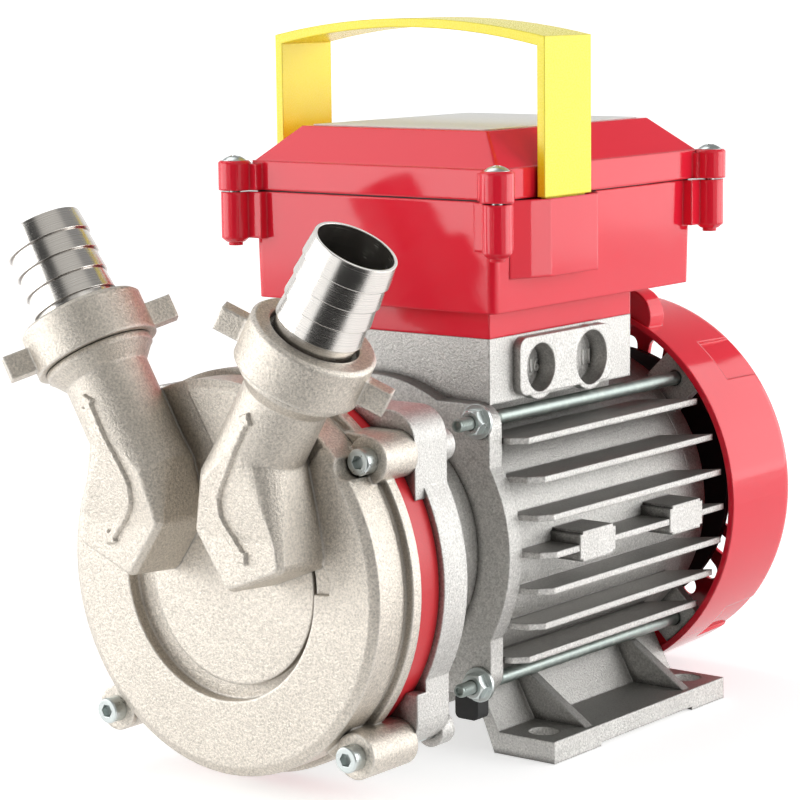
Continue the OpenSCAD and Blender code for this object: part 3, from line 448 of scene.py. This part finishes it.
def emboss(name, outline, node, height, edge, step=0.6):
    """A low raised shape on a node's front: outline in X and Z millimetres, cast onto it along +Y."""
    outline = [Vector(p) for p in outline]
    rim = resample(outline, step)
    xs = [p.x for p in rim]
    ys = [p.y for p in rim]
    inner = []
    x = min(xs)
    while x < max(xs):
        y = min(ys)
        while y < max(ys):
            p = Vector((x, y))
            if inside(p, outline) and gap_to(p, outline) > 0.5 * step:
                inner.append(p)
            y += step
        x += step
    count = len(rim)
    sides = [(i, (i + 1) % count) for i in range(count)]
    flat, _, faces, _, _, _ = delaunay_2d_cdt(rim + inner, sides, [], 1, 1e-6)
    surface = surface_of(node)
    points = []
    for p in flat:
        hit = surface.ray_cast(Vector((p.x * MM, RAY_FROM, p.y * MM)), Vector((0, 1, 0)))[0]
        t = min(1.0, gap_to(p, outline) / edge)
        rise = height * math.sqrt(max(0.0, 1 - (1 - t) ** 2)) - SUNK
        points.append(Vector((p.x * MM, hit.y - rise * MM, p.y * MM)))
    return new_piece(name, points, faces, NICKEL_CRISP)


def lathe_threaded(at, direction, rows, pitch, segments=28):
    """Points and faces of a turned bar: each row is (distance along, radius, thread depth) in millimetres."""
    direction = direction.normalized()
    first = direction.orthogonal().normalized()
    second = direction.cross(first)
    points = []
    for along, radius, depth in rows:
        for i in range(segments):
            turn = i / segments
            phase = (along / pitch - turn) % 1.0
            r = radius - depth * abs(2 * phase - 1)
            ring = first * math.cos(2 * math.pi * turn) + second * math.sin(2 * math.pi * turn)
            points.append(at + direction * along * MM + ring * r * MM)
    faces = []
    for j in range(len(rows) - 1):
        for i in range(segments):
            a = j * segments + i
            b = j * segments + (i + 1) % segments
            faces.append((a, b, b + segments, a + segments))
    faces.append(tuple(range(segments)))
    faces.append(tuple((len(rows) - 1) * segments + i for i in range(segments)))
    return points, faces


# Flow arrows, front view of the right port: X from the middle plane and Z above the foot, in millimetres
ARROW_PATH = [(32.6, 127.5), (24.4, 113.2), (20.0, 105.6), (18.7, 100.0), (20.4, 94.2), (27.0, 85.6)]
ARROW_WIDTH = 3.4
ARROW_HEAD = 3.6
ARROW_POINT = 1.25
ARROW_HEIGHT = 1.3
ARROW_EDGE = 0.4


def smooth_path(points, steps):
    """Catmull-Rom curve through flat points."""
    points = [Vector(p) for p in points]
    ends = [2 * points[0] - points[1]] + points + [2 * points[-1] - points[-2]]
    curve = []
    for a, b, c, d in zip(ends, ends[1:], ends[2:], ends[3:]):
        for i in range(steps):
            t = i / steps
            curve.append(0.5 * (2 * b + (c - a) * t + (2 * a - 5 * b + 4 * c - d) * t * t
                                + (3 * b - a - 3 * c + d) * t ** 3))
    return curve + [points[-1]]


def arrow_outline(side):
    path = smooth_path(ARROW_PATH, 6)
    left, right = [], []
    for i, p in enumerate(path):
        along = (path[min(i + 1, len(path) - 1)] - path[max(i - 1, 0)]).normalized()
        across = Vector((-along.y, along.x))
        left.append(p + across * ARROW_WIDTH / 2)
        right.append(p - across * ARROW_WIDTH / 2)

    def head(tip_from, tip_to):
        along = (tip_to - tip_from).normalized()
        across = Vector((-along.y, along.x))
        point = tip_to + along * ARROW_HEAD * ARROW_POINT
        return [tip_to + across * ARROW_HEAD, point, tip_to - across * ARROW_HEAD]

    far_head = head(path[-2], path[-1])
    near_head = head(path[1], path[0])
    outline = left + far_head + right[::-1] + near_head
    return [(side * p.x, p.y) for p in outline]


def add_arrows():
    for name, side in (("flow_arrow_left", -1), ("flow_arrow_right", 1)):
        emboss(name, arrow_outline(side), "pump_cover", ARROW_HEIGHT, ARROW_EDGE)


# Tie rods, in millimetres: place from the shaft in X and Z, radius, thread, and room before the hexagon heads
TIE_OFFSET = 44.5
ROD_RADIUS = 2.48
THREAD_PITCH = 0.8
THREAD_DEPTH = 0.36
THREAD_LENGTH = 22
THREAD_SHRINK = 0.1
HEAD_GAP = 2.7


def add_tie_rods():
    """Rods with real threads at their tips, and hexagon heads behind the fan cover tabs."""
    low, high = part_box("tie_rods")
    head_from = (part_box("rear_shield")[1].y - low.y) / MM + HEAD_GAP
    points, faces = [], []
    for sx in (-1, 1):
        for sz in (-1, 1):
            at = Vector((sx * TIE_OFFSET * MM, low.y, AXIS_H + sz * TIE_OFFSET * MM))
            rows = [(0.9, 1.0, 0), (0.0, 1.35, 0), (0.0, 1.9, 0)]
            along = 0.4
            while along < THREAD_LENGTH:
                chamfer = max(0, 0.9 - along) * 0.5
                rows.append((along, ROD_RADIUS - THREAD_SHRINK - chamfer, THREAD_DEPTH))
                along += THREAD_PITCH / 4
            rows += [(along + 0.3, ROD_RADIUS, 0), (head_from + 0.2, ROD_RADIUS, 0)]
            bar_points, bar_faces = lathe_threaded(at, Vector((0, 1, 0)), rows, THREAD_PITCH)
            faces += [tuple(i + len(points) for i in f) for f in bar_faces]
            points += bar_points
            rows = [(head_from + 0.05, 3.4, 0), (head_from + 0.05, 4.5, 0), (head_from + 2.9, 4.6, 0),
                    (head_from + 3.5, 3.9, 0)]
            bar_points, bar_faces = lathe_threaded(at, Vector((0, 1, 0)), rows, THREAD_PITCH, 6)
            faces += [tuple(i + len(points) for i in f) for f in bar_faces]
            points += bar_points
    rods = new_piece("tie_rods_threaded", points, faces, ROD_ZINC)
    rods.data.set_sharp_from_angle(angle=math.radians(32))
    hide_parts("tie_rods")


NUMBER_HEIGHT = 0.45


def add_number(text, at, size):
    """Plain raised number of the given size in millimetres on the floor of a blind cable entry, facing +X."""
    curve = bpy.data.curves.new("entry_number_" + text, "FONT")
    curve.body = text
    curve.size = size * MM
    curve.extrude = NUMBER_HEIGHT * MM
    curve.align_x = "CENTER"
    curve.align_y = "CENTER"
    number = bpy.data.objects.new("entry_number_" + text, curve)
    number.matrix_world = Matrix.Translation(at) @ Matrix(((0, 0, 1), (1, 0, 0), (0, 1, 0))).to_4x4()
    # The numbers take the casting painted brighter, as painted light
    curve.materials.append(NUMBERS_PAINTED_LIT)
    bpy.context.scene.collection.objects.link(number)
    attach(number, "frame")


def add_stage():
    """White paper under the object. Camera and mirror rays see it lifted, about as bright as the backdrop."""
    bpy.ops.mesh.primitive_plane_add(size=160, location=(0, 0, -0.0002))
    floor = bpy.context.object
    floor.name = "floor"
    look = Look("floor_paper", (0.80, 0.80, 0.80), rough=0.9)
    rays = look.add("ShaderNodeLightPath").outputs
    mirrored = look.math("MAXIMUM", rays["Is Glossy Ray"], rays["Is Transmission Ray"])
    seen = look.math("MAXIMUM", rays["Is Camera Ray"], mirrored)
    away = look.add("ShaderNodeVectorMath", operation="LENGTH")
    look.link(look.place, away.inputs[0])
    lift = look.between(away.outputs["Value"], 0.45, 2.5, 0.55, 0.9)
    look.link(look.math("MULTIPLY", seen, lift), look.shader.inputs["Emission Strength"])
    floor.data.materials.append(look.done(Emission_Color=(1, 1, 1, 1)))


def add_dark_card():
    """A black card on the table, from the object past the camera, that only reflections show."""
    mesh = bpy.data.meshes.new("dark_card")
    corners = [(0.04, -0.29), (0.50, 0.0), (4.6, -2.6), (0.9, -5.5)]
    mesh.from_pydata([(x, y, 0.001) for x, y in corners], [], [(0, 1, 2, 3)])
    card = bpy.data.objects.new("dark_card", mesh)
    bpy.context.scene.collection.objects.link(card)
    mesh.materials.append(Look("black_card", (0.02, 0.02, 0.02), rough=0.9).done())
    card.visible_camera = False
    card.visible_diffuse = False
    card.visible_shadow = False


def add_softbox(name, azimuth, elevation, distance, size, radiance):
    """A soft rectangular lamp aimed at the object. Azimuth is counted from +X towards +Y."""
    data = bpy.data.lights.new(name, "AREA")
    data.shape = "RECTANGLE"
    data.size, data.size_y = size
    data.energy = radiance * math.pi * size[0] * size[1]
    light = bpy.data.objects.new(name, data)
    turn, lift = math.radians(azimuth), math.radians(elevation)
    towards = Vector((math.cos(turn) * math.cos(lift), math.sin(turn) * math.cos(lift), math.sin(lift)))
    light.location = LIGHT_AIM + towards * distance
    light.rotation_euler = (-towards).to_track_quat("-Z", "Y").to_euler()
    bpy.context.scene.collection.objects.link(light)


def add_world():
    """The camera sees white. Mirror rays see a white backdrop, a dim ceiling, the dark room behind the camera
    and a pale panel to its right. Other rays see a plain pale room."""
    world = bpy.data.worlds.new("studio")
    world.use_nodes = True
    tree = world.node_tree
    direction = tree.nodes.new("ShaderNodeTexCoord").outputs["Generated"]
    split = tree.nodes.new("ShaderNodeSeparateXYZ")
    tree.links.new(direction, split.inputs[0])

    def mix(factor, first, second):
        node = tree.nodes.new("ShaderNodeMix")
        node.data_type = "RGBA"
        targets = (node.inputs["Factor"], node.inputs[6], node.inputs[7])
        for source, target in zip((factor, first, second), targets):
            if isinstance(source, tuple):
                target.default_value = (*source, 1)
            else:
                tree.links.new(source, target)
        return node.outputs[2]

    def ramp(source, low, high):
        node = tree.nodes.new("ShaderNodeMapRange")
        node.inputs["From Min"].default_value = low
        node.inputs["From Max"].default_value = high
        tree.links.new(source, node.inputs["Value"])
        return node.outputs[0]

    def larger(first, second):
        node = tree.nodes.new("ShaderNodeMath")
        node.operation = "MAXIMUM"
        tree.links.new(first, node.inputs[0])
        tree.links.new(second, node.inputs[1])
        return node.outputs[0]

    def towards(side):
        node = tree.nodes.new("ShaderNodeVectorMath")
        node.operation = "DOT_PRODUCT"
        node.inputs[1].default_value = side
        tree.links.new(direction, node.inputs[0])
        return node.outputs["Value"]

    dark = ramp(towards(DARK_SIDE), 0.35, 0.75)
    above = ramp(split.outputs["Z"], 0.20, 0.55)
    backdrop = mix(dark, mix(above, WHITE_LIGHT, CEILING), ROOM_DARK)
    backdrop = mix(ramp(towards(PANEL_SIDE), 0.74, 0.84), backdrop, PANEL)
    rays = tree.nodes.new("ShaderNodeLightPath").outputs
    mirrored = larger(rays["Is Glossy Ray"], rays["Is Transmission Ray"])
    shown = mix(rays["Is Camera Ray"], mix(mirrored, ROOM, backdrop), WHITE_LIGHT)
    tree.links.new(shown, tree.nodes["Background"].inputs["Color"])
    bpy.context.scene.world = world


# Where the lamps aim, and what the world shows in each direction
LIGHT_AIM = Vector((0, -0.04, 0.11))
WHITE_LIGHT = (1.0, 1.0, 1.0)
ROOM = (0.42, 0.42, 0.42)
CEILING = (0.30, 0.30, 0.30)
ROOM_DARK = (0.05, 0.05, 0.05)
DARK_SIDE = Vector((0.40, -0.90, 0.15)).normalized()
PANEL = (0.58, 0.57, 0.55)
PANEL_SIDE = Vector((0.70, -0.33, 0.64)).normalized()

add_camera()
dress_nodes()
add_arrows()
add_tie_rods()
ENTRY_FLOOR = 0.04105
add_number("16", Vector((ENTRY_FLOOR, -0.0295, 0.1295)), 6.2)
add_number("11", Vector((ENTRY_FLOOR, 0.0022, 0.1288)), 7.5)
add_stage()
add_dark_card()
add_softbox("left_box", 222, 11, 1.25, (1.25, 0.8), 3.3)
add_softbox("right_box", 30, 10, 1.3, (0.9, 0.9), 3.45)
add_softbox("back_box", 66, 12, 1.6, (0.8, 1.0), 1.8)
add_softbox("top_box", 180, 62, 1.3, (0.9, 0.9), 1.6)
add_softbox("fill_box", 342, 36, 1.4, (0.9, 0.55), 0.6)
add_world()
bpy.context.scene.view_settings.view_transform = "Standard"
